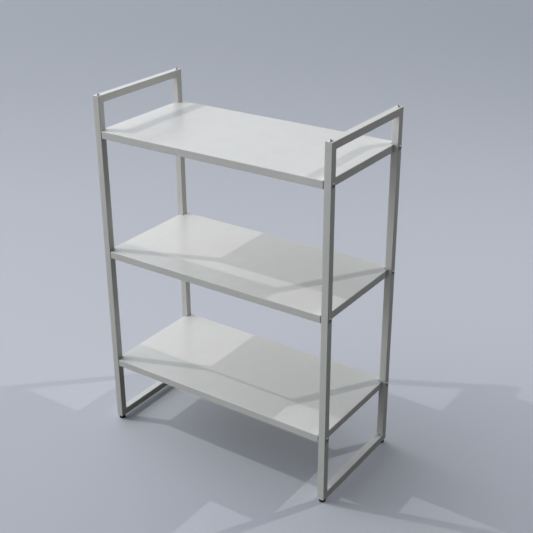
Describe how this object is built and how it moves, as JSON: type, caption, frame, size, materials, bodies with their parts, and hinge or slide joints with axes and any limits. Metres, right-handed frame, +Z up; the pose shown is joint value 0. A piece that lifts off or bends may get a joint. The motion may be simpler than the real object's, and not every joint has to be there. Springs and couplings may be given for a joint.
{
  "type": "three-tier shelving unit",
  "caption": "Free-standing open shelving unit: square-tube side loops, folded steel shelves with down-turned lips, and screw feet for levelling.",
  "frame": {"origin": "on the floor under the middle of the unit", "axes": "+Z up, +X to the right seen from the front, -Y towards the front"},
  "size_m": [0.7416, 0.35, 1.0133],
  "materials": {
    "white_powder_coat": "off-white satin powder coat on steel",
    "plated_steel": "zinc-plated steel, satin",
    "black_plated_steel": "black-plated steel",
    "black_plastic": "matt black moulded plastic",
    "black_nylon": "black nylon",
    "grey_nylon": "grey moulded nylon"
  },
  "bodies": {
    "shelving_unit": {"left_front_post": "white_powder_coat", "left_front_top_corner_block": "white_powder_coat", "left_front_bottom_corner_block": "white_powder_coat", "left_front_post_plug": "grey_nylon", "right_front_post": "white_powder_coat", "right_front_top_corner_block": "white_powder_coat", "right_front_bottom_corner_block": "white_powder_coat", "right_front_post_plug": "grey_nylon", "left_rear_post": "white_powder_coat", "left_rear_top_corner_block": "white_powder_coat", "left_rear_bottom_corner_block": "white_powder_coat", "left_rear_post_plug": "grey_nylon", "right_rear_post": "white_powder_coat", "right_rear_top_corner_block": "white_powder_coat", "right_rear_bottom_corner_block": "white_powder_coat", "right_rear_post_plug": "grey_nylon", "left_top_rail": "white_powder_coat", "left_bottom_rail": "white_powder_coat", "right_top_rail": "white_powder_coat", "right_bottom_rail": "white_powder_coat", "corner_screws": "plated_steel", "bottom_shelf": "white_powder_coat", "bottom_shelf_screws": "plated_steel", "bottom_shelf_spacer_washers": "black_nylon", "bottom_shelf_weld_nuts": "plated_steel", "middle_shelf": "white_powder_coat", "middle_shelf_screws": "plated_steel", "middle_shelf_spacer_washers": "black_nylon", "middle_shelf_weld_nuts": "plated_steel", "top_shelf": "white_powder_coat", "top_shelf_screws": "plated_steel", "top_shelf_spacer_washers": "black_nylon", "top_shelf_weld_nuts": "plated_steel"},
    "left_front_pad": {"left_front_foot_pad": "black_plastic"},
    "left_front_stud": {"left_front_foot_stud": "black_plated_steel"},
    "right_front_pad": {"right_front_foot_pad": "black_plastic"},
    "right_front_stud": {"right_front_foot_stud": "black_plated_steel"},
    "left_rear_pad": {"left_rear_foot_pad": "black_plastic"},
    "left_rear_stud": {"left_rear_foot_stud": "black_plated_steel"},
    "right_rear_pad": {"right_rear_foot_pad": "black_plastic"},
    "right_rear_stud": {"right_rear_foot_stud": "black_plated_steel"}
  },
  "joints": [
    {"name": "left_front_foot_travel", "type": "slide", "parent": "shelving_unit", "child": "left_front_pad", "axis": [0, 0, -1], "range_m": [-0.001, 0.015]},
    {"name": "left_front_stud_turn", "type": "hinge", "parent": "left_front_pad", "child": "left_front_stud", "pos_m": [-0.3575, -0.165, 0.004], "axis": [0, 0, -1], "range_deg": [-290, 4322]},
    {"name": "right_front_foot_travel", "type": "slide", "parent": "shelving_unit", "child": "right_front_pad", "axis": [0, 0, -1], "range_m": [-0.001, 0.015]},
    {"name": "right_front_stud_turn", "type": "hinge", "parent": "right_front_pad", "child": "right_front_stud", "pos_m": [0.3575, -0.165, 0.004], "axis": [0, 0, -1], "range_deg": [-290, 4322]},
    {"name": "left_rear_foot_travel", "type": "slide", "parent": "shelving_unit", "child": "left_rear_pad", "axis": [0, 0, -1], "range_m": [-0.001, 0.015]},
    {"name": "left_rear_stud_turn", "type": "hinge", "parent": "left_rear_pad", "child": "left_rear_stud", "pos_m": [-0.3575, 0.165, 0.004], "axis": [0, 0, -1], "range_deg": [-290, 4322]},
    {"name": "right_rear_foot_travel", "type": "slide", "parent": "shelving_unit", "child": "right_rear_pad", "axis": [0, 0, -1], "range_m": [-0.001, 0.015]},
    {"name": "right_rear_stud_turn", "type": "hinge", "parent": "right_rear_pad", "child": "right_rear_stud", "pos_m": [0.3575, 0.165, 0.004], "axis": [0, 0, -1], "range_deg": [-290, 4322]}
  ],
  "couplings": [
    {"joint": "left_front_stud_turn", "follows": "left_front_foot_travel", "rad_per_m": 5026.5},
    {"joint": "right_front_stud_turn", "follows": "right_front_foot_travel", "rad_per_m": 5026.5},
    {"joint": "left_rear_stud_turn", "follows": "left_rear_foot_travel", "rad_per_m": 5026.5},
    {"joint": "right_rear_stud_turn", "follows": "right_rear_foot_travel", "rad_per_m": 5026.5}
  ]
}
